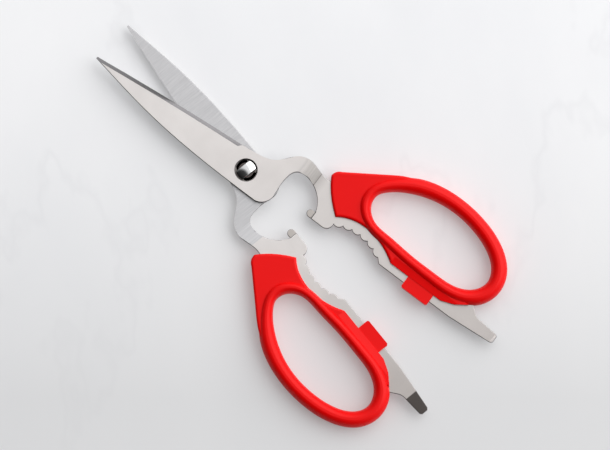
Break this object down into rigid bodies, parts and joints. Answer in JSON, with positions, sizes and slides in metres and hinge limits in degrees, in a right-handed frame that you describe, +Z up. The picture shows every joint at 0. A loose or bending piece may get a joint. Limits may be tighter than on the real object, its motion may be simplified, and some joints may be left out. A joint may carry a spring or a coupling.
{
  "type": "poultry shears",
  "caption": "Take-apart kitchen and poultry shears: two steel halves with moulded finger loops, a T-head pivot stud, a serrated jaw and a cap lifter.",
  "frame": {"origin": "centre of the bounding box on the surface the shears lie on, open as in the picture", "axes": "+X along the bisector of the two halves, from the blade tips to the handles; +Z up, square to the blades; +Y to the upper half's finger loop"},
  "size_m": [0.2134, 0.115, 0.0091],
  "materials": {
    "blade_steel": "satin ground stainless steel",
    "stud_steel": "polished stainless steel",
    "grip_plastic": "satin red moulded plastic"
  },
  "bodies": {
    "lower_half": {"lower_blade": "blade_steel", "lower_grip": "grip_plastic", "pivot_stud": "stud_steel"},
    "upper_half": {"upper_blade": "blade_steel", "upper_grip": "grip_plastic"}
  },
  "joints": [
    {"name": "blade_pivot", "type": "hinge", "parent": "lower_half", "child": "upper_half", "pos_m": [-0.02427, 0, 0.00456], "axis": [0, 0, 1], "range_deg": [-13.8, 96.2]}
  ]
}
